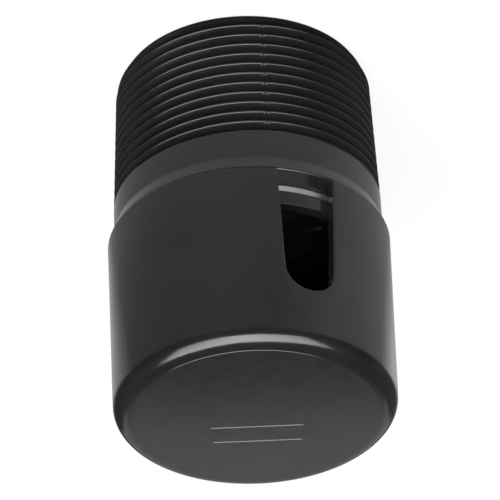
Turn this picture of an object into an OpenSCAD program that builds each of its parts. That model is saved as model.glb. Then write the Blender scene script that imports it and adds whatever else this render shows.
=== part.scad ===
// Spring-loaded air admittance valve with a male taper pipe thread.
// The thread points down, the closed cap points up, and z = 0 is the thread's end face.

/* [Pipe thread] */
// Threads per inch
thread_tpi = 11.5; // [8:0.5:14]
// Diameter over the crests at the small end
thread_end_d = 47.4; // [46:0.1:52]
// Taper of the thread, as diameter over length
thread_taper = 0.0625; // [0.02:0.0025:0.1]
// Length from the end face to the collar
thread_len = 27.25; // [18:0.25:40]
// Width of the crest flat
crest_w = 0.3; // [0.1:0.05:0.5]
// Width of the root flat
root_w = 0.15; // [0.05:0.05:0.4]
// Height of the first crest above the end face
first_crest_z = 0.88; // [0.5:0.01:1.5]
// Radial size of the bevel at the thread's end
end_bevel = 1.25; // [0.5:0.05:1.6]
// Diameter of the bore
bore_d = 39.6; // [36:0.2:40.4]

/* [Collar and flange] */
// Height of the plain collar
collar_h = 5.65; // [3:0.05:15]
// Height of the conical flange that widens from the collar to the cap's rim
flange_h = 2.95; // [1.5:0.05:5]
// How far the flange and the cap stand out past the collar
flange_step = 1.22; // [0.8:0.02:4]

/* [Cap] */
// Height of the cap
cap_h = 36.45; // [32:0.05:60]
// Draft angle of the cap's wall
cap_draft = 0.64; // [0.2:0.02:1.5]
// Thickness of the cap's wall at its rim
cap_wall = 2.25; // [1.8:0.05:3]
// Thickness of the cap's top
cap_top_t = 2.4; // [1.6:0.1:4]
// Radius of the cap's outer top edge
cap_edge_r = 2.95; // [1:0.05:5]
// Height of the raised panel on the top
panel_h = 0.2; // [0.1:0.05:0.6]

/* [Air windows] */
// Width of each window at the cap's rim
window_rim_w = 10.8; // [6:0.1:14]
// Width of each window where its arch starts
window_arch_w = 9.1; // [5:0.1:14]
// Height of each window from the rim to the top of its arch
window_h = 24.75; // [16:0.05:26]

/* [Neck and snap fit] */
// Height of the neck above the flange
neck_h = 6; // [4:0.1:9]
// Thickness of the neck's wall
neck_wall = 2.3; // [1.8:0.05:2.8]
// Height of the snap bead's middle above the flange
bead_z = 2.55; // [1.5:0.05:3]
// Width of the snap bead's crest flat
bead_crest = 0.2; // [0.1:0.05:0.6]
// How far the bead stands out of the neck
bead_out = 0.65; // [0.2:0.05:0.7]
// Clearance between the neck and the cap
cap_fit = 0.1; // [0.05:0.01:0.25]

/* [Valve seat] */
// Thickness of the seat plate
seat_t = 2.8; // [2:0.1:5]
// Diameter of the air opening in the seat plate
seat_hole_d = 25; // [18:0.5:28]
// Radial width of the seat lip
lip_w = 0.9; // [0.5:0.1:1.5]
// Height of the seat lip below the plate
lip_h = 0.8; // [0.4:0.1:1.5]
// Distance from the air opening to the seat lip
lip_inset = 0.6; // [0.3:0.1:1]
// Number of spider ribs
rib_count = 4; // [3:1:6]
// Width of each spider rib
rib_w = 2.2; // [1.5:0.1:3]
// Height of the ribs above the seat plate
rib_rise = 0.5; // [0.2:0.1:1.5]
// Length of each rib that lies on the plate
rib_foot = 2; // [1:0.1:3]
// Width of the hub's ledge outside the spring
hub_ledge = 0.95; // [0.4:0.05:2]
// Height of the hub above the seat plate
hub_rise = 1; // [0.6:0.1:3]
// Height of the spigot that centres the spring
spigot_h = 1.5; // [0.8:0.1:4]

/* [Valve plunger] */
// Diameter of the stem
stem_d = 5; // [4:0.1:6]
// Radial clearance of the stem in its guide
stem_fit = 0.08; // [0.03:0.01:0.1]
// How far the disc's edge stays inside the seal's edge
disc_inset = 0.7; // [0.3:0.1:1.5]
// Thickness of the disc
disc_t = 2; // [1.2:0.1:3]
// Wall of the boss that holds the seal, outside the stem
boss_wall = 1.5; // [1:0.1:2.5]
// Height of the lip that keeps the seal on the boss
boss_lip_h = 0.5; // [0.3:0.1:0.8]
// Gap between the boss and the hub with the valve closed
boss_gap = 0.3; // [0.2:0.05:0.6]
// Radial width of that lip
boss_lip_w = 0.6; // [0.3:0.1:1]
// Depth of the clip groove in the stem
groove_depth = 0.6; // [0.4:0.05:0.9]
// Height of the stem's head above the groove
head_h = 2; // [1.2:0.1:3]
// Bevel on the stem's head
head_bevel = 0.6; // [0.3:0.1:0.9]

/* [Seal] */
// How far the seal reaches past the seat lip
seal_cover = 1.5; // [0.8:0.1:2.5]
// Thickness of the seal
seal_t = 2; // [1.2:0.1:3]
// Clearance between the seal and its boss
seal_fit = 0.05; // [0.02:0.01:0.2]

/* [Spring and retainer] */
// Diameter of the spring wire
wire_d = 0.7; // [0.5:0.05:1]
// Clearance between the spigot and the spring's coils
spring_fit = 0.3; // [0.15:0.05:0.5]
// Working length of the spring with the valve closed
spring_len = 20; // [16:0.5:23]
// Number of open coils
open_coils = 6; // [4:0.5:8]
// Number of closed coils at each end
closed_coils = 1.25; // [1:0.25:2]
// Gap between neighbouring closed coils
closed_gap = 0.06; // [0.03:0.01:0.2]
// Wall of the hub's spigot round the stem's guide
spigot_wall = 1.45; // [1:0.05:2]
// Clearance between the spring and the retainer's rim
rim_fit = 0.55; // [0.3:0.05:1]
// Thickness of the retainer
retainer_t = 1.9; // [1.2:0.1:3]
// Depth of the rim that centres the spring's top
rim_drop = 1.2; // [0.6:0.1:2]
// Thickness of that rim
rim_t = 0.9; // [0.6:0.05:1.4]
// Clearance of the retainer in the stem's groove
groove_fit = 0.1; // [0.05:0.01:0.2]
// How far each side of the retainer's slot grips past the groove
slot_grip = 0.3; // [0.1:0.05:0.5]
// Gap left at each end of the spring
spring_gap = 0.03; // [0.01:0.01:0.1]

/* [Hidden] */
$fn = 96;
eps = 0.01;
overlap = 0.4;

// Thread: a 60 degree form between the crest and root flats
pitch = 25.4 / thread_tpi;
flank_angle = 30;
thread_depth = (pitch - crest_w - root_w) / (2 * tan(flank_angle));
flank_h = thread_depth * tan(flank_angle);
crest_count = floor((thread_len - crest_w / 2 - first_crest_z) / pitch) + 1;
function crest_r(z) = (thread_end_d + z * thread_taper) / 2;
function root_r(z) = crest_r(z) - thread_depth;
bore_r = bore_d / 2;
collar_r = crest_r(thread_len);

// Levels from the thread's end face upwards
flange_z = thread_len + collar_h;
cap_z = flange_z + flange_h;
cap_top_z = cap_z + cap_h;
seat_top_z = cap_z;
seat_low_z = seat_top_z - seat_t;
lip_z = seat_low_z - lip_h;
hub_top_z = seat_top_z + hub_rise;
spigot_top_z = hub_top_z + spigot_h;

// Cap and neck
cap_r = collar_r + flange_step;
cap_in_r = cap_r - cap_wall;
panel_r = cap_r - cap_h * tan(cap_draft) - cap_edge_r;
neck_r = cap_in_r - cap_fit;
neck_in_r = neck_r - neck_wall;
window_arch_r = window_arch_w / 2;

// Valve
stem_r = stem_d / 2;
guide_r = stem_r + stem_fit;
spigot_r = guide_r + spigot_wall;
seat_hole_r = seat_hole_d / 2;
lip_r = seat_hole_r + lip_inset;
seal_r = lip_r + lip_w + seal_cover;
disc_r = seal_r - disc_inset;
boss_r = stem_r + boss_wall;
seal_low_z = lip_z - seal_t;
disc_low_z = seal_low_z - disc_t;
boss_top_z = lip_z + boss_lip_h;
hub_low_z = boss_top_z + boss_gap;
groove_r = stem_r - groove_depth;

// Spring and retainer
coil_r = spigot_r + spring_fit + wire_d / 2;
coil_out_r = coil_r + wire_d / 2;
hub_r = coil_out_r + hub_ledge;
spring_low_z = hub_top_z;
spring_top_z = spring_low_z + spring_len;
groove_low_z = spring_top_z - groove_fit;
groove_top_z = spring_top_z + retainer_t;
stem_top_z = groove_top_z + head_h;
retainer_r = coil_out_r + rim_fit + rim_t;
slot_r = groove_r + groove_fit;

// One ridge of the thread, as a ring with the thread's own section
module thread_ridge(z) {
  half_root = crest_w / 2 + flank_h;
  polygon([
    [root_r(z) - overlap, z - half_root],
    [root_r(z), z - half_root],
    [crest_r(z), z - crest_w / 2],
    [crest_r(z), z + crest_w / 2],
    [root_r(z), z + half_root],
    [root_r(z) - overlap, z + half_root]
  ]);
}

// Half section of the threaded end, with its end bevelled
module thread_section() {
  intersection() {
    union() {
      polygon([[bore_r, 0], [root_r(0), 0], [root_r(thread_len), thread_len], [bore_r, thread_len]]);
      for (k = [0 : crest_count - 1]) thread_ridge(first_crest_z + k * pitch);
    }
    polygon([
      [0, 0],
      [crest_r(0) - end_bevel, 0],
      [crest_r(0), end_bevel],
      [collar_r, thread_len],
      [0, thread_len]
    ]);
  }
}

// Half section of the collar, the flange and the seat plate with its lip
module shoulder_section() {
  polygon([
    [bore_r, thread_len - flank_h],
    [root_r(thread_len - flank_h), thread_len - flank_h],
    [collar_r, thread_len],
    [collar_r, flange_z],
    [cap_r, cap_z],
    [seat_hole_r, seat_top_z],
    [seat_hole_r, seat_low_z],
    [lip_r, seat_low_z],
    [lip_r + lip_w / 4, lip_z],
    [lip_r + lip_w * 3 / 4, lip_z],
    [lip_r + lip_w, seat_low_z],
    [bore_r, seat_low_z]
  ]);
}

// Outline of the snap bead with 45 degree flanks, or of its groove when grown by a clearance
module bead_section(grow) {
  out = bead_out + grow;
  half_crest = bead_crest / 2 + grow * (sqrt(2) - 1);
  half_foot = half_crest + out;
  mid_z = cap_z + bead_z;
  polygon([
    [neck_r - overlap, mid_z - half_foot],
    [neck_r, mid_z - half_foot],
    [neck_r + out, mid_z - half_crest],
    [neck_r + out, mid_z + half_crest],
    [neck_r, mid_z + half_foot],
    [neck_r - overlap, mid_z + half_foot]
  ]);
}

// Half section of the neck that the cap snaps over
module neck_section() {
  translate([neck_in_r, cap_z - overlap]) square([neck_r - neck_in_r, neck_h + overlap]);
  bead_section(0);
}

// Ribs that carry the stem's guide in the middle of the air opening
module spider() {
  rib_from_r = hub_r - overlap;
  rib_to_r = seat_hole_r + rib_foot;
  for (k = [0 : rib_count - 1])
    rotate([0, 0, (k + 0.5) * 360 / rib_count])
      translate([rib_from_r, -rib_w / 2, seat_low_z])
        cube([rib_to_r - rib_from_r, rib_w, seat_t + rib_rise]);
}

module guide_hub() {
  translate([0, 0, hub_low_z]) cylinder(h = hub_top_z - hub_low_z, r = hub_r);
  translate([0, 0, hub_low_z]) cylinder(h = spigot_top_z - hub_low_z, r = spigot_r);
}

module threaded_body() {
  color("#1c1c1d")
    difference() {
      union() {
        rotate_extrude() {
          thread_section();
          shoulder_section();
          neck_section();
        }
        spider();
        guide_hub();
      }
      translate([0, 0, hub_low_z - eps])
        cylinder(h = spigot_top_z - hub_low_z + 2 * eps, r = guide_r);
    }
}

// Half section of a drafted cup with a rounded outer edge at its top
module cup_section(rim_r, top_z, edge_r) {
  edge_z = top_z - edge_r;
  edge_x = rim_r - (edge_z - cap_z) * tan(cap_draft) - edge_r / cos(cap_draft);
  polygon([
    [0, cap_z],
    [rim_r, cap_z],
    [edge_x + edge_r * cos(cap_draft), edge_z + edge_r * sin(cap_draft)],
    [edge_x, top_z],
    [0, top_z]
  ]);
  translate([edge_x, edge_z]) circle(r = edge_r);
}

// Half section of the cap: a shell with a raised panel on top and a groove for the bead
module cap_section() {
  shell_top_z = cap_top_z - panel_h;
  difference() {
    union() {
      cup_section(cap_r, shell_top_z, cap_edge_r);
      translate([0, shell_top_z - overlap]) square([panel_r, panel_h + overlap]);
    }
    translate([0, -eps])
      cup_section(cap_in_r, shell_top_z - cap_top_t, max(cap_edge_r - cap_top_t, cap_edge_r / 3));
    bead_section(cap_fit);
  }
}

// Outline of a window: straight leaning sides under a round arch, open at the cap's rim
module window_outline() {
  arch_z = cap_z + window_h - window_arch_r;
  polygon([
    [-window_rim_w / 2, cap_z - eps],
    [window_rim_w / 2, cap_z - eps],
    [window_arch_r, arch_z],
    [-window_arch_r, arch_z]
  ]);
  translate([0, arch_z]) circle(r = window_arch_r);
}

module vent_cap() {
  color("#202021")
    difference() {
      rotate_extrude() cap_section();
      rotate([90, 0, 0])
        translate([0, 0, -2 * cap_r]) linear_extrude(4 * cap_r) window_outline();
    }
}

module valve_plunger() {
  color("#2c2d2e")
    rotate_extrude()
      polygon([
        [0, disc_low_z],
        [disc_r, disc_low_z],
        [disc_r, seal_low_z],
        [boss_r, seal_low_z],
        [boss_r, lip_z],
        [boss_r + boss_lip_w, lip_z],
        [boss_r, boss_top_z],
        [stem_r, boss_top_z],
        [stem_r, groove_low_z],
        [groove_r, groove_low_z],
        [groove_r, groove_top_z],
        [stem_r, groove_top_z],
        [stem_r, stem_top_z - head_bevel],
        [stem_r - head_bevel, stem_top_z],
        [0, stem_top_z]
      ]);
}

module seal_washer() {
  color("#141414")
    translate([0, 0, seal_low_z])
      difference() {
        cylinder(h = seal_t, r = seal_r);
        translate([0, 0, -eps]) cylinder(h = seal_t + 2 * eps, r = boss_r + seal_fit);
      }
}

// Height of the wire at a turn number: closed ends climb by the wire, and the open coils share the rest
function coil_z(turn, turns, rise) =
  let (
    closed_pitch = wire_d + closed_gap,
    closed_rise = closed_coils * closed_pitch,
    open_rise = rise - 2 * closed_rise
  )
  turn < closed_coils ? turn * closed_pitch
  : turn > turns - closed_coils ? rise - (turns - turn) * closed_pitch
  : closed_rise + open_rise * (turn - closed_coils) / open_coils;

// A compression spring, as one round wire swept along its coils
module return_spring() {
  turns = open_coils + 2 * closed_coils;
  steps_per_turn = 24;
  sides = 8;
  rings = floor(turns * steps_per_turn);
  wire_r = wire_d / 2;
  low_z = spring_low_z + spring_gap + wire_r;
  rise = spring_len - 2 * spring_gap - wire_d;
  points = [
    for (k = [0 : rings], s = [0 : sides - 1])
      let (
        turn = k * turns / rings,
        r = coil_r + wire_r * cos(s * 360 / sides),
        z = low_z + coil_z(turn, turns, rise) + wire_r * sin(s * 360 / sides)
      )
      [r * cos(turn * 360), r * sin(turn * 360), z]
  ];
  walls = [
    for (k = [0 : rings - 1], s = [0 : sides - 1])
      let (t = (s + 1) % sides)
      [k * sides + s, k * sides + t, (k + 1) * sides + t, (k + 1) * sides + s]
  ];
  ends = [
    [for (s = [sides - 1 : -1 : 0]) s],
    [for (s = [0 : sides - 1]) rings * sides + s]
  ];
  color("silver") polyhedron(points, concat(walls, ends));
}

module spring_retainer() {
  color("#2c2d2e")
    difference() {
      union() {
        translate([0, 0, spring_top_z]) cylinder(h = retainer_t, r = retainer_r);
        translate([0, 0, spring_top_z - rim_drop])
          difference() {
            cylinder(h = rim_drop + overlap, r = retainer_r);
            translate([0, 0, -eps]) cylinder(h = rim_drop + eps, r = retainer_r - rim_t);
          }
      }
      translate([0, 0, spring_top_z - eps]) cylinder(h = retainer_t + 2 * eps, r = slot_r);
      translate([0, slot_grip - slot_r, spring_top_z - eps])
        cube([2 * retainer_r, 2 * (slot_r - slot_grip), retainer_t + 2 * eps]);
      translate([0, -guide_r, spring_top_z - rim_drop - eps])
        cube([2 * retainer_r, 2 * guide_r, rim_drop + 2 * eps]);
    }
}

threaded_body();
vent_cap();
valve_plunger();
seal_washer();
return_spring();
spring_retainer();
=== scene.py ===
"""Looks of a spring-loaded air admittance valve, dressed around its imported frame.

Mesh code works in millimetres in the frame's own axes, and finish_piece() scales each mesh to metres.
The thread points down, the closed cap points up, and the air windows face -Y and +Y. The camera, the
lights and the floor are in metres.
"""

import math

import bmesh
import bpy
import numpy as np
from mathutils import Matrix, Vector


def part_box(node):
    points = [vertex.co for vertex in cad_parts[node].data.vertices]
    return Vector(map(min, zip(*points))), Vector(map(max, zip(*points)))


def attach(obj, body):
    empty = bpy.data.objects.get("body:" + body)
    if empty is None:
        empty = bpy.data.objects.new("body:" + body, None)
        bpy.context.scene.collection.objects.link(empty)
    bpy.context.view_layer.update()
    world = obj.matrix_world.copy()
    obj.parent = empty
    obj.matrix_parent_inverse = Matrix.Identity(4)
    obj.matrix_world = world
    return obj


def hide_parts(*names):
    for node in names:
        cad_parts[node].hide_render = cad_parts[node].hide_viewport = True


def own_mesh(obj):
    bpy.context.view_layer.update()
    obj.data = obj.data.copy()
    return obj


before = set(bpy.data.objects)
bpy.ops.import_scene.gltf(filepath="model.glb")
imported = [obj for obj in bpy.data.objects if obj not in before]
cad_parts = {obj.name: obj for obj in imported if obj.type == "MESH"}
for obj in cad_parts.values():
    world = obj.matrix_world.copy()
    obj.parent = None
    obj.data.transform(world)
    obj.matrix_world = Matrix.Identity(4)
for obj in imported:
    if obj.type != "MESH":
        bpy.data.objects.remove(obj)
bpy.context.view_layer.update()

MM = 0.001
TAU = 2 * math.pi


def node_box(node):
    """Lowest and highest corner of a CAD node, in millimetres."""
    low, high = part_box(node)
    return Vector(low) / MM, Vector(high) / MM


# Places that the frame gives
_, BODY_HIGH = node_box("threaded_body")
CAP_LOW, CAP_HIGH = node_box("vent_cap")
PLUNGER_LOW, PLUNGER_HIGH = node_box("valve_plunger")
SEAL_LOW, SEAL_HIGH = node_box("seal_washer")
SPRING_LOW, SPRING_HIGH = node_box("return_spring")
CAP_R = CAP_HIGH.x
CAP_Z = CAP_LOW.z
TOP_Z = CAP_HIGH.z
NECK_TOP_Z = BODY_HIGH.z
LIP_Z = SEAL_HIGH.z

# Pipe thread
PITCH = 25.4 / 11.5
THREAD_END_R = 23.7
TAPER = 1 / 32
THREAD_LEN = 27.25
CREST_W = 0.18
ROOT_W = 0.27
FLANK_H = (PITCH - CREST_W - ROOT_W) / 2
THREAD_DEPTH = FLANK_H / math.tan(math.radians(30))
CREST_ROUND = 0.15
ROOT_ROUND = 0.1
END_R = 22.6
CHAMFER_SLOPE = 0.6
LEAD_R = END_R + 0.1
LEAD_H = 0.3
LEAD_SLOPE = 3.0
START_Z = 1.14
BORE_R = 19.8
END_FACE_STEP = 0.6
COLLAR_R = THREAD_END_R + THREAD_LEN * TAPER
COLLAR_LOW_Z = THREAD_LEN + 0.6
RUNOUT_BLEND = 0.12
PARTING_ANGLES = (math.radians(-75), math.radians(105))
PARTING_CUT = 0.11
PARTING_HALF_W = 0.3
PARTING_COLUMNS = [math.radians(d) for d in (-1.1, -0.7, -0.35, 0, 0.35, 0.7, 1.1)]

# Collar, flange, neck and seat
FLANGE_Z = 32.9
RIM_OVERHANG = 0.3
CAP_WALL = 2.25
CAP_IN_R = CAP_R - CAP_WALL
CAP_FIT = 0.1
NECK_R = CAP_IN_R - CAP_FIT
NECK_WALL = 2.3
NECK_IN_R = NECK_R - NECK_WALL
BEAD_RISE = 2.55
BEAD_Z = CAP_Z + BEAD_RISE
BEAD_CREST = 0.2
BEAD_OUT = 0.65
SEAT_T = 2.8
SEAT_LOW_Z = CAP_Z - SEAT_T
SEAT_HOLE_R = 12.5
LIP_R = 13.1
LIP_W = 0.9
HUB_R = 5.98
HUB_LOW_Z = SEAT_LOW_Z
HUB_TOP_Z = SPRING_LOW.z
SPIGOT_R = 4.03
SPIGOT_H = 1.5
GUIDE_R = 2.58
RIB_COUNT = 4
RIB_W = 2.2
RIB_RISE = 0.5
RIB_FOOT = 2.0
RIB_ROOT = 0.6
RIB_LIFT = 0.05
RIB_EDGE = 0.3

# Cap
CAP_DRAFT = math.tan(math.radians(0.64))
CAP_EDGE_R = 2.95
CAP_TOP_T = 2.4
PANEL_H = 0.07
PANEL_SLOPE_W = 0.07
PANEL_HOLD = 0.2
BORDER_H = 0.1
SHELL_TOP_Z = TOP_Z - PANEL_H - BORDER_H
PANEL_R = CAP_R - (TOP_Z - CAP_Z) * CAP_DRAFT - CAP_EDGE_R
WINDOW_RIM_W = 10.8
WINDOW_H = 24.75
WINDOW_ARCH_R = 4.55
WINDOW_ARCH_Z = CAP_Z + WINDOW_H - WINDOW_ARCH_R
WINDOW_EDGE = 0.4
WINDOW_EDGE_SWEEP = math.radians(75)
WINDOW_FLARE = 1.6
WINDOW_FOOT = 2.0
WINDOW_REACH = 3.0

# Raised border on the cap's top
BORDER_ANGLE = math.radians(24.8)
BORDER_CENTRE = (-0.1, 5.5)
BORDER_SIZE = (16.5, 5.3)
BORDER_LINE = 0.35
BORDER_ROOT = 0.3
BORDER_SLOPE_W = BORDER_H
BORDER_STEEP_W = 0.4 * BORDER_H

# Plunger and seal
DIMPLE_R = 1.5
DIMPLE_SLOPE_W = 0.3
DIMPLE_H = 0.25
BOSS_R = 4.0
BOSS_LIP_W = 0.6
BOSS_LIP_H = 0.5
STEM_R = 2.5
STEM_TIP = 0.6
CLIP_GROOVE_R = 1.9
CLIP_GROOVE_GAP = 0.1
CLIP_GROOVE_END = 2.0
SEAL_IN_R = 4.05

# Spring
WIRE_R = 0.35
COIL_R = 4.68
OPEN_COILS = 6
CLOSED_COILS = 1.25
CLOSED_PITCH = 0.76

# Mesh density, and the margins of cutting tools and of places that count as the same
COLUMNS = 180
HUB_COLUMNS = 96
CAP_COLUMNS = 240
PLUNGER_COLUMNS = 128
SEAL_COLUMNS = 160
WIRE_STEPS = 48
WIRE_SIDES = 14
WINDOW_SIDE_STEPS = 12
WINDOW_ARCH_STEPS = 48
WINDOW_EDGE_STEPS = 5
ARC_STEP = math.radians(20)
ARC_SPAN = 0.3
LONGEST_SPAN = 6.0
SPAN_HOLD = 0.12
FLANK_SPAN = 0.5
FLANK_HOLD = 0.05
TOOL_MARGIN = 1.0
SAME_PLACE = 1e-3
CUT_SNAP = 1e-4

# Camera: the photo looks down on the part's front and stands on its head
CAMERA_AZIMUTH = math.radians(24.8)
CAMERA_ELEVATION = math.radians(33.713)
CAMERA_ROLL = math.radians(-2.391)
CAMERA_DISTANCE = 0.699735
CAMERA_LENS = 276.08
CAMERA_SENSOR = 36
AIM_RIGHT = -0.000148
AIM_Z = 0.036391

# Lit screen over the part's front. Its corners and middle are to the right of the upright view and
# towards the viewer, as shares of the screen's height above the part.
SCREEN_H = 0.6
SCREEN_CORNERS = ((-1.05, 0.28), (0.15, 0.28), (0.9, -0.17), (2.2, 1.4), (1.0, 2.1), (-1.9, 2.3))
SCREEN_MIDDLE = (0.15, 0.9)
SCREEN_FORWARD = 0.02
SCREEN_FADE = {"low": 5.5, "high": 3.0, "from_low": 0, "from_high": 1.3 * SCREEN_H}

# Card behind the part
CARD_W = 0.148
CARD_H = 0.083
CARD_DROP = 0.01
CARD_BACK = 0.115
CARD_RADIANCE = 0.46

# Floor, ceiling, and the dish round the part that only reflections meet
FLOOR_HALF = 4.0
FLOOR_Z = -0.0003
FLOOR_GREY = 0.8
FLOOR_ROUGH = 0.9
FLOOR_GLOW = 1.1
FLOOR_GLOW_SHARE = 0.75
CEILING_FADE = {"low": 1.0, "high": 0.09, "from_low": 0.09, "from_high": 0.24}
DISH_COLUMNS = 64
DISH_Z = -0.0002
DISH_PATH = ((0.0205, DISH_Z), (0.15, DISH_Z), (0.6, DISH_Z), (0.7, 0.25))
# Greys of the dish's light by distance from the axis. The low greys next to the part are a painted
# contact shadow of the part in the floor that reflections see.
DISH_GREYS_AND_PAINTED_SHADOW = ((0.0235, 0.03), (0.028, 0.2), (0.04, 0.5), (0.09, 0.24), (0.25, 0.02))
DISH_LEFT_GAIN = {"low": 2.25, "high": 0.95, "from_low": -0.115, "from_high": -0.05}
DISH_BACKWARD = (0.06, 1, 0)
DISH_BACK_GAIN = {"low": 1.0, "high": 3.0, "from_low": 0.046, "from_high": 0.082}

# Materials
GRAIN_DEPTH = 0.0002
PLASTIC_IOR = 1.54
STREAK_SCALE = (1, 1, 0.12)


def rounded(corners, closed=False):
    """Points of a path through (x, y, rounding) corners, with an arc at each rounded corner."""
    points = []
    count = len(corners)
    for i, (x, y, rounding) in enumerate(corners):
        here = Vector((x, y))
        is_end = not closed and i in (0, count - 1)
        if is_end or not rounding:
            points.append(here)
            continue
        before = (Vector(corners[i - 1][:2]) - here).normalized()
        after = (Vector(corners[(i + 1) % count][:2]) - here).normalized()
        half = before.angle(after) / 2
        reach = rounding / math.tan(half)
        centre = here + (before + after).normalized() * rounding / math.sin(half)
        start = here + before * reach - centre
        end = here + after * reach - centre
        first = math.atan2(start.y, start.x)
        sweep = (math.atan2(end.y, end.x) - first + math.pi) % TAU - math.pi
        steps = max(2, math.ceil(abs(sweep) / ARC_STEP), math.ceil(abs(sweep) * rounding / ARC_SPAN))
        for k in range(steps + 1):
            angle = first + sweep * k / steps
            points.append(centre + rounding * Vector((math.cos(angle), math.sin(angle))))
    return points


def split_spans(path, longest, hold):
    """The path with points added: one close to each end of a long span, which keeps it flat, and
    others so that no span is longer than the given length."""
    points = [path[0]]
    for here, there in zip(path, path[1:]):
        length = (there - here).length
        if length > 4 * hold:
            first = here.lerp(there, hold / length)
            last = there.lerp(here, hold / length)
            pieces = math.ceil((last - first).length / longest)
            points += [first.lerp(last, k / pieces) for k in range(pieces + 1)]
        points.append(there)
    return points


def even_angles(count):
    return [TAU * k / count - math.pi for k in range(count)]


def ring(bm, r, z, angles):
    """A ring of vertices round the axis, or one vertex where the radius is nothing."""
    if r < SAME_PLACE:
        return [bm.verts.new((0, 0, z))]
    return [bm.verts.new((r * math.cos(a), r * math.sin(a), z)) for a in angles]


def skin(bm, low, high):
    """Faces between two loops of as many vertices; a loop of one vertex is a pole."""
    count = max(len(low), len(high))
    for i in range(count):
        j = (i + 1) % count
        corners = [low[i % len(low)], low[j % len(low)], high[j % len(high)], high[i % len(high)]]
        bm.faces.new(list(dict.fromkeys(corners)))


def skin_all(bm, loops, closed=False):
    for low, high in zip(loops, loops[1:]):
        skin(bm, low, high)
    if closed:
        skin(bm, loops[-1], loops[0])


def ring_angle(vertex):
    return math.atan2(vertex.co.y, vertex.co.x)


def zip_rings(bm, inner, outer):
    """Triangles between two rings of any counts, walked round together by angle."""
    def turn(loop, k):
        return ring_angle(loop[k % len(loop)]) + TAU * (k // len(loop))

    i = j = 0
    while i < len(inner) or j < len(outer):
        take_inner = turn(inner, i + 1) <= turn(outer, j + 1)
        if j == len(outer) or (i < len(inner) and take_inner):
            bm.faces.new((inner[i % len(inner)], inner[(i + 1) % len(inner)], outer[j % len(outer)]))
            i += 1
        else:
            bm.faces.new((inner[i % len(inner)], outer[(j + 1) % len(outer)], outer[j % len(outer)]))
            j += 1


def turned(corners, closed=False, columns=COLUMNS):
    """A mesh turned round the axis from (r, z, rounding) corners."""
    bm = bmesh.new()
    path = rounded(corners, closed)
    if closed:
        path.append(path[0])
    path = split_spans(path, LONGEST_SPAN, SPAN_HOLD)
    if closed:
        path.pop()
    angles = even_angles(columns)
    skin_all(bm, [ring(bm, r, z, angles) for r, z in path], closed)
    return bm


def as_object(name, bm):
    """A new object in the scene that takes over the mesh."""
    bmesh.ops.recalc_face_normals(bm, faces=bm.faces)
    mesh = bpy.data.meshes.new(name)
    bm.to_mesh(mesh)
    bm.free()
    piece = bpy.data.objects.new(name, mesh)
    bpy.context.scene.collection.objects.link(piece)
    return piece


def combine(piece, tool, operation):
    """Joins or cuts a piece with another, which is used up."""
    modifier = piece.modifiers.new("combine", "BOOLEAN")
    modifier.operation = operation
    modifier.solver = "EXACT"
    modifier.object = tool
    with bpy.context.temp_override(object=piece, active_object=piece):
        bpy.ops.object.modifier_apply(modifier=modifier.name)
    mesh = tool.data
    bpy.data.objects.remove(tool)
    bpy.data.meshes.remove(mesh)


def finish_piece(piece, material, body, node, sharp_degrees=38):
    """Scales a piece to metres, shades it, and hands it to the frame in place of its node."""
    mesh = piece.data
    mesh.transform(Matrix.Scale(MM, 4))
    mesh.polygons.foreach_set("use_smooth", [True] * len(mesh.polygons))
    mesh.set_sharp_from_angle(angle=math.radians(sharp_degrees))
    mesh.materials.clear()
    mesh.materials.append(material)
    mesh.update()
    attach(piece, body)
    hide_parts(node)
    return piece


def smooth_max(a, b, blend):
    """The larger of two values, blended where they are close."""
    share = np.clip(0.5 + 0.5 * (a - b) / blend, 0, 1)
    return b + (a - b) * share + blend * share * (1 - share)


def thread_rows():
    """Places along the axis and depths below the crest, over one pitch from root to root."""
    half_crest = CREST_W / 2
    half_root = half_crest + FLANK_H
    corners = [
        (-PITCH / 2, THREAD_DEPTH, 0),
        (-half_root, THREAD_DEPTH, ROOT_ROUND),
        (-half_crest, 0, CREST_ROUND),
        (half_crest, 0, CREST_ROUND),
        (half_root, THREAD_DEPTH, ROOT_ROUND),
        (PITCH / 2, THREAD_DEPTH, 0),
    ]
    path = split_spans(rounded(corners), FLANK_SPAN, FLANK_HOLD)
    return np.array([tuple(p) for p in path[:-1]])


def angle_from(angles, centre):
    return (angles - centre + math.pi) % TAU - math.pi


def thread_columns():
    """Angles round the thread, with more of them beside the parting lines."""
    angles = [TAU * k / COLUMNS for k in range(COLUMNS)]
    for centre in PARTING_ANGLES:
        angles += [(centre + step) % TAU for step in PARTING_COLUMNS]
    return np.array(sorted(set(angles)))


def thread_radius(z, depth, angles):
    """Radius of the thread's surface, up to where it runs out at the collar."""
    crest = THREAD_END_R + z * TAPER
    on_land = sum(abs(angle_from(angles, c)) * THREAD_END_R < PARTING_HALF_W for c in PARTING_ANGLES)
    radius = np.minimum(crest - depth, crest - PARTING_CUT * on_land)
    shoulder = COLLAR_R - np.maximum(THREAD_LEN - z, 0) * THREAD_DEPTH / FLANK_H
    return np.minimum(smooth_max(radius, shoulder, RUNOUT_BLEND), COLLAR_R)


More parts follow.
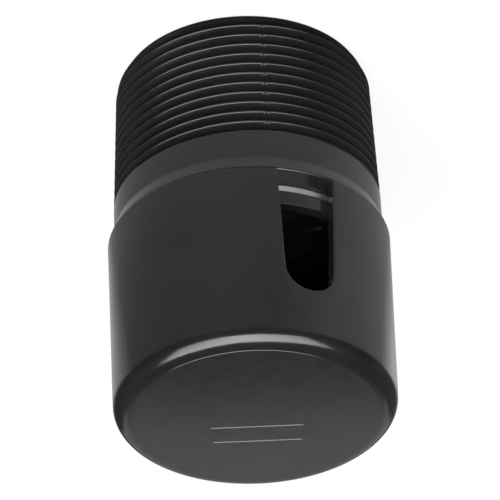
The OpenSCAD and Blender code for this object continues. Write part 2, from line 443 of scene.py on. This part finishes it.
def add_thread(bm, top_z):
    """The helical thread as one strip, cut flat at the end face and at the collar."""
    rows = thread_rows()
    angles = thread_columns()
    per_turn = len(rows)
    turns = math.ceil(top_z / PITCH) + 4
    turn_of_row = np.repeat(np.arange(turns) - 2, per_turn)
    offset = np.tile(rows[:, 0], turns)
    depth = np.tile(rows[:, 1], turns)[None, :]
    column = angles[:, None]
    z = START_Z + PITCH * (column / TAU + turn_of_row[None, :]) + offset[None, :]
    radius = thread_radius(z, depth, column)
    x = radius * np.cos(column)
    y = radius * np.sin(column)
    grid = [[bm.verts.new(p) for p in zip(x[c], y[c], z[c])] for c in range(len(angles))]
    for c, low in enumerate(grid):
        high = grid[c + 1] if c + 1 < len(grid) else grid[0][per_turn:]
        for k in range(min(len(low), len(high)) - 1):
            bm.faces.new((low[k], high[k], high[k + 1], low[k + 1]))
    cut_level(bm, 0, -1, clear=True)
    cut_level(bm, top_z, 1, clear=True)
    fill_lead(bm)
    return [rim_at(bm, level) for level in (0, top_z)]


def cut_level(bm, z, side, clear):
    """Splits the mesh at a height, and takes away what lies beyond it where that is asked for."""
    bmesh.ops.bisect_plane(
        bm, geom=bm.verts[:] + bm.edges[:] + bm.faces[:], dist=CUT_SNAP,
        plane_co=(0, 0, z), plane_no=(0, 0, side), clear_outer=clear,
    )


def fill_lead(bm):
    """Fills the groove at the end face with a plain ring that slopes down to the root."""
    fall = LEAD_R - (THREAD_END_R - THREAD_DEPTH)
    for z in (LEAD_H, LEAD_H + fall / LEAD_SLOPE):
        cut_level(bm, z, 1, clear=False)
    for vertex in bm.verts:
        least = LEAD_R - max(vertex.co.z - LEAD_H, 0) * LEAD_SLOPE
        grow = max(1, least / math.hypot(vertex.co.x, vertex.co.y))
        vertex.co.x *= grow
        vertex.co.y *= grow


def end_chamfer():
    """A tool that holds the body inside the chamfer's cone, turned a little so that its edges lie
    between the thread's."""
    low_z = -TOOL_MARGIN
    out_r = CAP_R + 2 * TOOL_MARGIN
    high_z = NECK_TOP_Z + TOOL_MARGIN
    bm = turned([
        (0, low_z, 0),
        (END_R + low_z * CHAMFER_SLOPE, low_z, 0),
        (out_r, (out_r - END_R) / CHAMFER_SLOPE, 0),
        (out_r, high_z, 0),
        (0, high_z, 0),
    ])
    bmesh.ops.rotate(bm, matrix=Matrix.Rotation(TAU / COLUMNS / 4, 3, "Z"), verts=bm.verts)
    return as_object("chamfer", bm)


def rim_at(bm, level):
    """The open edge's vertices at a height, in order round the axis."""
    rim = {v for e in bm.edges if e.is_boundary for v in e.verts}
    return sorted((v for v in rim if abs(v.co.z - level) < SAME_PLACE), key=ring_angle)


def bead_corners(r, rounding):
    """Corners of the snap bead on a wall, from below upwards."""
    half_crest = BEAD_CREST / 2
    half_foot = half_crest + BEAD_OUT
    return [
        (r, BEAD_Z - half_foot, rounding),
        (r + BEAD_OUT, BEAD_Z - half_crest, rounding / 2),
        (r + BEAD_OUT, BEAD_Z + half_crest, rounding / 2),
        (r, BEAD_Z + half_foot, rounding),
    ]


def shoulder_path(start_z):
    """The body's turned section, from the collar over the neck and the seat to the end face."""
    corners = [
        (COLLAR_R, start_z, 0),
        (COLLAR_R, FLANGE_Z, 0.6),
        (CAP_R - RIM_OVERHANG, CAP_Z, 0.35),
        (NECK_R, CAP_Z, 0),
        *bead_corners(NECK_R, 0.15),
        (NECK_R, NECK_TOP_Z, 0.04),
        (NECK_IN_R, NECK_TOP_Z, 0.3),
        (NECK_IN_R, CAP_Z, 0.8),
        (SEAT_HOLE_R, CAP_Z, 0.3),
        (SEAT_HOLE_R, SEAT_LOW_Z, 0.15),
        (LIP_R, SEAT_LOW_Z, 0.1),
        (LIP_R + LIP_W / 4, LIP_Z, 0.15),
        (LIP_R + LIP_W * 3 / 4, LIP_Z, 0.15),
        (LIP_R + LIP_W, SEAT_LOW_Z, 0.1),
        (BORE_R, SEAT_LOW_Z, 0.8),
        (BORE_R, 0, 0.3),
        (BORE_R + END_FACE_STEP, 0, 0),
    ]
    return split_spans(rounded(corners), LONGEST_SPAN, SPAN_HOLD)


def make_hub():
    """The stem's guide with its spring spigot, on ribs that reach over the seat plate."""
    spigot_top = HUB_TOP_Z + SPIGOT_H
    hub = as_object("hub", turned([
        (GUIDE_R, HUB_LOW_Z, 0.2),
        (HUB_R, HUB_LOW_Z, 0.3),
        (HUB_R, HUB_TOP_Z, 0.3),
        (SPIGOT_R, HUB_TOP_Z, 0.15),
        (SPIGOT_R, spigot_top, 0.35),
        (GUIDE_R, spigot_top, 0.2),
    ], closed=True, columns=HUB_COLUMNS))
    inner = HUB_R - RIB_ROOT
    outer = SEAT_HOLE_R + RIB_FOOT
    low = SEAT_LOW_Z + RIB_LIFT
    high = CAP_Z + RIB_RISE
    for k in range(RIB_COUNT):
        bm = bmesh.new()
        bmesh.ops.create_cube(bm, size=1)
        bmesh.ops.scale(bm, vec=(outer - inner, RIB_W, high - low), verts=bm.verts)
        bmesh.ops.bevel(
            bm, geom=bm.edges[:], offset=RIB_EDGE, segments=3, profile=0.5, affect="EDGES")
        bmesh.ops.translate(bm, vec=((inner + outer) / 2, 0, (low + high) / 2), verts=bm.verts)
        turn = Matrix.Rotation(TAU * (k + 0.5) / RIB_COUNT, 3, "Z")
        bmesh.ops.rotate(bm, matrix=turn, verts=bm.verts)
        combine(hub, as_object("rib", bm), "UNION")
    return hub


def make_body(material):
    """The threaded body: one skin from the thread to the seat, with the hub joined to it."""
    bm = bmesh.new()
    end_rim, collar_rim = add_thread(bm, COLLAR_LOW_Z)
    angles = [ring_angle(v) for v in collar_rim]
    loops = [collar_rim]
    loops += [ring(bm, r, z, angles) for r, z in shoulder_path(COLLAR_LOW_Z)[1:]]
    skin_all(bm, loops)
    zip_rings(bm, loops[-1], end_rim)
    body = as_object("body_moulding", bm)
    combine(body, end_chamfer(), "INTERSECT")
    combine(body, make_hub(), "UNION")
    return finish_piece(body, material, "housing", "threaded_body")


def window_outline(grow):
    """Points round a window, from its foot up one side, over the arch and down again, set outwards."""
    foot_z = CAP_Z - WINDOW_FOOT
    lean = (WINDOW_RIM_W / 2 - WINDOW_ARCH_R) / (WINDOW_ARCH_Z - CAP_Z)
    foot = Vector((WINDOW_RIM_W / 2 + lean * (CAP_Z - foot_z), foot_z))
    side_top = Vector((WINDOW_ARCH_R, WINDOW_ARCH_Z))
    side = [foot.lerp(side_top, k / WINDOW_SIDE_STEPS) for k in range(WINDOW_SIDE_STEPS)]
    right = [p + Vector((grow, 0)) for p in side]
    reach = WINDOW_ARCH_R + grow
    arch = []
    for k in range(WINDOW_ARCH_STEPS + 1):
        angle = math.pi * k / WINDOW_ARCH_STEPS
        arch.append(Vector((reach * math.cos(angle), WINDOW_ARCH_Z + reach * math.sin(angle))))
    left = [Vector((-p.x, p.y)) for p in reversed(right)]
    return right + arch + left


def window_loop(bm, grow, depth):
    """The window's outline at a depth below the cap's outer wall."""
    loop = []
    for x, z in window_outline(grow):
        wall_r = CAP_R - (z - CAP_Z) * CAP_DRAFT
        loop.append(bm.verts.new((x, depth - math.sqrt(wall_r ** 2 - x ** 2), z)))
    return loop


def flat_window_loop(bm, grow, y):
    return [bm.verts.new((x, y, z)) for x, z in window_outline(grow)]


def window_cutter(turn):
    """A tool that cuts one window and rounds its outer edge."""
    bm = bmesh.new()
    loops = [flat_window_loop(bm, 0, -CAP_R / 2), window_loop(bm, 0, CAP_WALL)]
    for k in range(WINDOW_EDGE_STEPS + 1):
        angle = WINDOW_EDGE_SWEEP * k / WINDOW_EDGE_STEPS
        grow = WINDOW_EDGE * (1 - math.cos(angle))
        depth = WINDOW_EDGE * (1 - math.sin(angle))
        loops.append(window_loop(bm, grow, depth))
    grow += WINDOW_FLARE * math.sin(WINDOW_EDGE_SWEEP)
    depth -= WINDOW_FLARE * math.cos(WINDOW_EDGE_SWEEP)
    loops.append(window_loop(bm, grow, depth))
    loops.append(flat_window_loop(bm, grow, -CAP_R - WINDOW_REACH))
    skin_all(bm, loops)
    for end in (loops[0], loops[-1]):
        bm.faces.new(end)
    bmesh.ops.rotate(bm, matrix=Matrix.Rotation(turn, 3, "Z"), verts=bm.verts)
    return as_object("window_cutter", bm)


def rectangle(bm, centre, width, height, z):
    """A level rectangle on the cap's top, turned square to the front view."""
    corners = []
    for sx, sy in ((-1, -1), (1, -1), (1, 1), (-1, 1)):
        spot = Vector((centre[0] + sx * width / 2, centre[1] + sy * height / 2, z))
        corners.append(bm.verts.new(Matrix.Rotation(BORDER_ANGLE, 3, "Z") @ spot))
    return corners


def raised_border():
    """A plain raised border, rooted in the panel, with steeper slopes on its short sides."""
    bm = bmesh.new()
    width, height = BORDER_SIZE
    panel_z = SHELL_TOP_Z + PANEL_H
    root_z = panel_z - BORDER_ROOT
    levels = (
        (0, 0, root_z),
        (0, 0, panel_z),
        (BORDER_STEEP_W, BORDER_SLOPE_W, TOP_Z),
        (BORDER_LINE - BORDER_STEEP_W, BORDER_LINE - BORDER_SLOPE_W, TOP_Z),
        (BORDER_LINE, BORDER_LINE, panel_z),
        (BORDER_LINE, BORDER_LINE, root_z),
    )
    loops = []
    for side, end, z in levels:
        loops.append(rectangle(bm, BORDER_CENTRE, width - 2 * side, height - 2 * end, z))
    skin_all(bm, loops, closed=True)
    return as_object("raised_border", bm)


def make_cap(material):
    """The cup-shaped cap, with its two windows and the raised border on its closed end."""
    panel_z = SHELL_TOP_Z + PANEL_H
    edge_x = CAP_R - (SHELL_TOP_Z - CAP_Z) * CAP_DRAFT
    inner_z = SHELL_TOP_Z - CAP_TOP_T
    corners = [
        (0, panel_z, 0),
        (PANEL_R - PANEL_HOLD, panel_z, 0),
        (PANEL_R - PANEL_SLOPE_W, panel_z, 0.03),
        (PANEL_R, SHELL_TOP_Z, 0),
        (edge_x, SHELL_TOP_Z, CAP_EDGE_R),
        (CAP_R, CAP_Z, 0.3),
        (CAP_IN_R, CAP_Z, 0.25),
        *bead_corners(CAP_IN_R, 0.12),
        (CAP_IN_R - (inner_z - CAP_Z) * CAP_DRAFT, inner_z, 1.0),
        (0, inner_z, 0),
    ]
    cap = as_object("vent_cap_moulding", turned(corners, columns=CAP_COLUMNS))
    for turn in (0, math.pi):
        combine(cap, window_cutter(turn), "DIFFERENCE")
    combine(cap, raised_border(), "UNION")
    return finish_piece(cap, material, "housing", "vent_cap")


def make_plunger(material):
    """The disc with its boss for the seal, and the stem with its groove for the clip."""
    disc_r = PLUNGER_HIGH.x
    low = PLUNGER_LOW.z
    top = PLUNGER_HIGH.z
    groove_low = SPRING_HIGH.z - CLIP_GROOVE_GAP
    groove_high = top - CLIP_GROOVE_END
    plunger = as_object("plunger_moulding", turned([
        (0, low + DIMPLE_H, 0),
        (DIMPLE_R - DIMPLE_SLOPE_W, low + DIMPLE_H, 0.1),
        (DIMPLE_R, low, 0.1),
        (disc_r, low, 0.5),
        (disc_r, SEAL_LOW.z, 0.2),
        (BOSS_R, SEAL_LOW.z, 0.1),
        (BOSS_R, LIP_Z, 0),
        (BOSS_R + BOSS_LIP_W, LIP_Z, 0.06),
        (BOSS_R, LIP_Z + BOSS_LIP_H, 0.1),
        (STEM_R, LIP_Z + BOSS_LIP_H, 0.2),
        (STEM_R, groove_low, 0.06),
        (CLIP_GROOVE_R, groove_low, 0.06),
        (CLIP_GROOVE_R, groove_high, 0.06),
        (STEM_R, groove_high, 0.06),
        (STEM_R, top - STEM_TIP, 0.2),
        (STEM_R - STEM_TIP, top, 0.2),
        (0, top, 0),
    ], columns=PLUNGER_COLUMNS))
    return finish_piece(plunger, material, "valve", "valve_plunger")


def make_seal(material):
    """The flat ring that closes against the seat's lip."""
    seal = as_object("seal_ring", turned([
        (SEAL_IN_R, SEAL_LOW.z, 0.1),
        (SEAL_HIGH.x, SEAL_LOW.z, 0.3),
        (SEAL_HIGH.x, SEAL_HIGH.z, 0.3),
        (SEAL_IN_R, SEAL_HIGH.z, 0.1),
    ], closed=True, columns=SEAL_COLUMNS))
    return finish_piece(seal, material, "valve", "seal_washer")


def coil_height(turn, turns):
    """Height of the wire's middle at a turn: closed ends, and open coils that share the rest."""
    low = SPRING_LOW.z + WIRE_R
    high = SPRING_HIGH.z - WIRE_R
    closed_rise = CLOSED_COILS * CLOSED_PITCH
    open_pitch = (high - low - 2 * closed_rise) / OPEN_COILS
    if turn < CLOSED_COILS:
        return low + turn * CLOSED_PITCH
    if turn > turns - CLOSED_COILS:
        return high - (turns - turn) * CLOSED_PITCH
    return low + closed_rise + (turn - CLOSED_COILS) * open_pitch


def wire_loop(bm, turn, turns):
    """Vertices round the wire at a turn of the coil."""
    out = Vector((math.cos(TAU * turn), math.sin(TAU * turn), 0))
    middle = out * COIL_R + Vector((0, 0, coil_height(turn, turns)))
    loop = []
    for k in range(WIRE_SIDES):
        angle = TAU * k / WIRE_SIDES
        across = out * math.cos(angle) + Vector((0, 0, math.sin(angle)))
        loop.append(bm.verts.new(middle + WIRE_R * across))
    return loop


def make_spring(material):
    """The coil of wire at rest; the real spring shortens towards its foot as the valve opens."""
    bm = bmesh.new()
    turns = OPEN_COILS + 2 * CLOSED_COILS
    loops = []
    for step in range(int(turns * WIRE_STEPS) + 1):
        loops.append(wire_loop(bm, step / WIRE_STEPS, turns))
    skin_all(bm, loops)
    bm.faces.new(loops[0])
    bm.faces.new(loops[-1])
    spring = finish_piece(
        as_object("spring_wire", bm), material, "housing", "return_spring")
    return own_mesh(spring)


def new_material(name):
    material = bpy.data.materials.new(name)
    material.use_nodes = True
    nodes = material.node_tree.nodes
    return material, nodes, material.node_tree.links, nodes["Principled BSDF"]


def glowing_material(name):
    """A new material that only gives off light."""
    material, nodes, links, shader = new_material(name)
    nodes.remove(shader)
    glow = nodes.new("ShaderNodeEmission")
    links.new(glow.outputs["Emission"], nodes["Material Output"].inputs["Surface"])
    return material, nodes, links, glow


def noise(nodes, links, coordinates, scale, detail):
    node = nodes.new("ShaderNodeTexNoise")
    node.inputs["Scale"].default_value = scale
    node.inputs["Detail"].default_value = detail
    links.new(coordinates, node.inputs["Vector"])
    return node.outputs["Fac"]


def spread(nodes, links, source, low, high, from_low=0.3, from_high=0.7):
    """A value mapped from one span, which is a noise's usual one if none is given, to another."""
    node = nodes.new("ShaderNodeMapRange")
    for socket, value in (
        ("From Min", from_low), ("From Max", from_high), ("To Min", low), ("To Max", high)
    ):
        node.inputs[socket].default_value = value
    links.new(source, node.inputs["Value"])
    return node.outputs["Result"]


def calculate(nodes, links, operation, *sources):
    """A math node that takes its first values from the sources."""
    node = nodes.new("ShaderNodeMath")
    node.operation = operation
    for socket, source in zip(node.inputs, sources):
        links.new(source, socket)
    return node


def two_tone(nodes, links, factor, dark, light):
    node = nodes.new("ShaderNodeMix")
    node.data_type = "RGBA"
    node.inputs["A"].default_value = (*dark, 1)
    node.inputs["B"].default_value = (*light, 1)
    links.new(factor, node.inputs["Factor"])
    return node.outputs["Result"]


def grey_ramp(nodes, links, source, greys):
    """A colour that runs through (place, grey) stops."""
    node = nodes.new("ShaderNodeValToRGB")
    stops = node.color_ramp.elements
    for place, _ in greys[1:-1]:
        stops.new(place)
    for stop, (place, grey) in zip(stops, greys):
        stop.position = place
        stop.color = (grey, grey, grey, 1)
    links.new(source, node.inputs["Fac"])
    return node.outputs["Color"]


def add_bump(nodes, links, shader, height, strength, distance=GRAIN_DEPTH):
    node = nodes.new("ShaderNodeBump")
    node.inputs["Strength"].default_value = strength
    node.inputs["Distance"].default_value = distance
    links.new(height, node.inputs["Height"])
    links.new(node.outputs["Normal"], shader.inputs["Normal"])


def moulded_plastic(name, dark, light, rough, grain_scale, grain, specular):
    """Moulded plastic: slight flow shades, gloss in faint streaks along the axis, fine mould grain."""
    material, nodes, links, shader = new_material(name)
    place = nodes.new("ShaderNodeTexCoord").outputs["Object"]
    flow = spread(nodes, links, noise(nodes, links, place, scale=60, detail=3), low=0, high=1)
    links.new(two_tone(nodes, links, flow, dark, light), shader.inputs["Base Color"])
    stretch = nodes.new("ShaderNodeMapping")
    stretch.inputs["Scale"].default_value = STREAK_SCALE
    links.new(place, stretch.inputs["Vector"])
    streaks = noise(nodes, links, stretch.outputs["Vector"], scale=350, detail=4)
    links.new(spread(nodes, links, streaks, *rough), shader.inputs["Roughness"])
    shader.inputs["Specular IOR Level"].default_value = specular
    shader.inputs["IOR"].default_value = PLASTIC_IOR
    grain_height = noise(nodes, links, place, scale=grain_scale, detail=2)
    add_bump(nodes, links, shader, grain_height, strength=grain)
    return material


def black_plastic(name, rough):
    """The black plastic of the body and the cap, which differ only in gloss."""
    return moulded_plastic(
        name, dark=(0.008, 0.008, 0.0083), light=(0.0115, 0.0115, 0.012), rough=rough,
        grain_scale=2600, grain=0.04, specular=0.75)


def seal_rubber():
    """Matt black rubber with a soft bloom."""
    material, nodes, links, shader = new_material("seal_rubber")
    place = nodes.new("ShaderNodeTexCoord").outputs["Object"]
    bloom = spread(nodes, links, noise(nodes, links, place, scale=220, detail=5), low=0, high=1)
    tone = two_tone(nodes, links, bloom, dark=(0.009, 0.009, 0.009), light=(0.02, 0.02, 0.021))
    links.new(tone, shader.inputs["Base Color"])
    rough = spread(nodes, links, bloom, low=0.6, high=0.78, from_low=0, from_high=1)
    links.new(rough, shader.inputs["Roughness"])
    shader.inputs["Specular IOR Level"].default_value = 0.35
    grain_height = noise(nodes, links, place, scale=3000, detail=2)
    add_bump(nodes, links, shader, grain_height, strength=0.15)
    return material


def drawn_steel():
    """Drawn spring wire: bright steel with fine lines and a few duller stretches."""
    material, nodes, links, shader = new_material("drawn_steel")
    place = nodes.new("ShaderNodeTexCoord").outputs["Object"]
    bright = spread(nodes, links, noise(nodes, links, place, scale=300, detail=4), low=0, high=1)
    tone = two_tone(nodes, links, bright, dark=(0.42, 0.42, 0.43), light=(0.6, 0.6, 0.61))
    links.new(tone, shader.inputs["Base Color"])
    shader.inputs["Metallic"].default_value = 1
    rough = spread(nodes, links, bright, low=0.4, high=0.24, from_low=0, from_high=1)
    links.new(rough, shader.inputs["Roughness"])
    grain_height = noise(nodes, links, place, scale=5000, detail=2)
    add_bump(nodes, links, shader, grain_height, strength=0.08, distance=GRAIN_DEPTH / 2)
    return material


def seen_directly(nodes, links):
    """One for camera, mirror-like and see-through rays, and nothing for the light that fills in."""
    path = nodes.new("ShaderNodeLightPath")
    total = path.outputs["Is Camera Ray"]
    for other in ("Is Glossy Ray", "Is Transmission Ray"):
        total = calculate(nodes, links, "MAXIMUM", total, path.outputs[other]).outputs[0]
    return total


def mix_shaders(nodes, links, factor, first, second):
    node = nodes.new("ShaderNodeMixShader")
    links.new(factor, node.inputs["Fac"])
    links.new(first, node.inputs[1])
    links.new(second, node.inputs[2])
    return node.outputs["Shader"]


def floor_white():
    """White that keeps a soft part of the shadow, and is clear from underneath."""
    material, nodes, links, shader = new_material("floor_white")
    shader.inputs["Base Color"].default_value = (FLOOR_GREY, FLOOR_GREY, FLOOR_GREY, 1)
    shader.inputs["Roughness"].default_value = FLOOR_ROUGH
    shader.inputs["Specular IOR Level"].default_value = 0
    glow = nodes.new("ShaderNodeEmission")
    glow.inputs["Strength"].default_value = FLOOR_GLOW
    share = calculate(nodes, links, "MULTIPLY", seen_directly(nodes, links))
    share.inputs[1].default_value = FLOOR_GLOW_SHARE
    top = mix_shaders(nodes, links, share.outputs[0], shader.outputs["BSDF"], glow.outputs["Emission"])
    below = nodes.new("ShaderNodeNewGeometry").outputs["Backfacing"]
    clear = nodes.new("ShaderNodeBsdfTransparent").outputs["BSDF"]
    surface = mix_shaders(nodes, links, below, top, clear)
    links.new(surface, nodes["Material Output"].inputs["Surface"])
    return material


def make_floor():
    """A wide white floor just under the part."""
    bm = bmesh.new()
    bmesh.ops.create_grid(bm, x_segments=1, y_segments=1, size=FLOOR_HALF)
    bmesh.ops.translate(bm, vec=(0, 0, FLOOR_Z), verts=bm.verts)
    floor = as_object("floor", bm)
    floor.data.materials.append(floor_white())


def surround_grey():
    """Grey light, dark right beside the part as a painted shadow of the part on the floor, and palest
    a few centimetres out from the axis, behind the part and to the left of the upright view."""
    material, nodes, links, glow = glowing_material("surround_grey")
    spot = nodes.new("ShaderNodeTexCoord").outputs["Object"]
    reach = nodes.new("ShaderNodeVectorMath")
    reach.operation = "LENGTH"
    links.new(spot, reach.inputs[0])
    # The ramp's darkest greys, next to the part, are painted shadow.
    links.new(grey_ramp(nodes, links, reach.outputs["Value"], DISH_GREYS_AND_PAINTED_SHADOW), glow.inputs["Color"])
    place = nodes.new("ShaderNodeSeparateXYZ")
    links.new(spot, place.inputs["Vector"])
    left_gain = spread(nodes, links, place.outputs["X"], **DISH_LEFT_GAIN)
    backward = nodes.new("ShaderNodeVectorMath")
    backward.operation = "DOT_PRODUCT"
    backward.inputs[1].default_value = DISH_BACKWARD
    links.new(spot, backward.inputs[0])
    back_gain = spread(nodes, links, backward.outputs["Value"], **DISH_BACK_GAIN)
    strength = calculate(nodes, links, "MULTIPLY", left_gain, back_gain)
    links.new(strength.outputs[0], glow.inputs["Strength"])
    return material


def make_surround():
    """A grey dish round the part that only reflections meet, as cards in a studio."""
    bm = bmesh.new()
    angles = even_angles(DISH_COLUMNS)
    skin_all(bm, [ring(bm, r, z, angles) for r, z in DISH_PATH])
    dish = as_object("surround", bm)
    dish.rotation_euler = (0, 0, CAMERA_AZIMUTH)
    dish.data.materials.append(surround_grey())
    dish.visible_camera = False
    dish.visible_shadow = False
    dish.visible_diffuse = False


def make_world():
    """White near the horizon, and a darker ceiling above."""
    world = bpy.data.worlds.new("studio")
    bpy.context.scene.world = world
    world.use_nodes = True
    nodes = world.node_tree.nodes
    links = world.node_tree.links
    direction = nodes.new("ShaderNodeSeparateXYZ")
    links.new(nodes.new("ShaderNodeTexCoord").outputs["Generated"], direction.inputs["Vector"])
    background = nodes["Background"]
    background.inputs["Color"].default_value = (1, 1, 1, 1)
    strength = spread(nodes, links, direction.outputs["Z"], **CEILING_FADE)
    links.new(strength, background.inputs["Strength"])


def view_axes():
    """Right, up and backward directions of the upright view, before its roll."""
    a, e = CAMERA_AZIMUTH, CAMERA_ELEVATION
    right = Vector((math.cos(a), math.sin(a), 0))
    back = Vector((math.sin(a) * math.cos(e), -math.cos(a) * math.cos(e), math.sin(e)))
    return right, back.cross(right), back


def make_camera():
    """The photo's camera, rolled half a turn from the upright view."""
    right, up, back = view_axes()
    c, s = math.cos(CAMERA_ROLL), math.sin(CAMERA_ROLL)
    rolled_right = c * right + s * up
    rolled_up = c * up - s * right
    aim = AIM_RIGHT * right + Vector((0, 0, AIM_Z))
    data = bpy.data.cameras.new("camera")
    data.lens = CAMERA_LENS
    data.sensor_width = CAMERA_SENSOR
    data.sensor_fit = "HORIZONTAL"
    camera = bpy.data.objects.new("camera", data)
    bpy.context.scene.collection.objects.link(camera)
    turn = Matrix((-rolled_right, -rolled_up, back)).transposed()
    camera.matrix_world = Matrix.Translation(aim + CAMERA_DISTANCE * back) @ turn.to_4x4()
    bpy.context.scene.camera = camera


def screen_white():
    """White light, brightest down the screen's middle."""
    material, nodes, links, glow = glowing_material("screen_white")
    place = nodes.new("ShaderNodeSeparateXYZ")
    links.new(nodes.new("ShaderNodeTexCoord").outputs["Object"], place.inputs["Vector"])
    aside = calculate(nodes, links, "ABSOLUTE", place.outputs["X"])
    strength = spread(nodes, links, aside.outputs[0], **SCREEN_FADE)
    links.new(strength, glow.inputs["Strength"])
    return material


def make_screen(toward):
    """The main light: a level screen lit from behind."""
    bm = bmesh.new()
    offsets = [(x - SCREEN_MIDDLE[0], SCREEN_MIDDLE[1] - y, 0) for x, y in SCREEN_CORNERS]
    bm.faces.new([bm.verts.new(SCREEN_H * Vector(offset)) for offset in offsets])
    screen = as_object("screen", bm)
    screen.data.materials.append(screen_white())
    right = Vector((-toward.y, toward.x, 0))
    middle = SCREEN_H * (SCREEN_MIDDLE[0] * right + SCREEN_MIDDLE[1] * toward)
    screen.location = SCREEN_FORWARD * toward + middle + Vector((0, 0, TOP_Z * MM + SCREEN_H))
    screen.rotation_euler = (0, 0, CAMERA_AZIMUTH)
    screen.visible_camera = False


def make_rear_card(toward):
    """A weak card behind the part that the cap's top mirrors."""
    data = bpy.data.lights.new("rear_card", "AREA")
    data.shape = "RECTANGLE"
    data.size = CARD_W
    data.size_y = CARD_H
    data.energy = CARD_RADIANCE * math.pi * CARD_W * CARD_H
    card = bpy.data.objects.new("rear_card", data)
    bpy.context.scene.collection.objects.link(card)
    card.location = -CARD_BACK * toward + Vector((0, 0, TOP_Z * MM - CARD_DROP + CARD_H / 2))
    card.rotation_euler = toward.to_track_quat("-Z", "Y").to_euler()
    card.visible_camera = False


def make_lights():
    """The screen over the part's front, and the card behind the part."""
    right, _, _ = view_axes()
    toward = Vector((right.y, -right.x, 0))
    make_screen(toward)
    make_rear_card(toward)


make_camera()
make_world()
make_lights()
make_floor()
make_surround()

dark_acetal = moulded_plastic(
    "dark_acetal", dark=(0.026, 0.026, 0.028), light=(0.036, 0.036, 0.038), rough=(0.38, 0.5),
    grain_scale=2000, grain=0.1, specular=0.4)

make_body(black_plastic("black_body_plastic", rough=(0.09, 0.14)))
make_cap(black_plastic("black_cap_plastic", rough=(0.14, 0.21)))
make_plunger(dark_acetal)
make_seal(seal_rubber())
make_spring(drawn_steel())
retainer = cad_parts["spring_retainer"]
retainer.data.materials.clear()
retainer.data.materials.append(dark_acetal)

bpy.context.scene.view_settings.view_transform = "Standard"
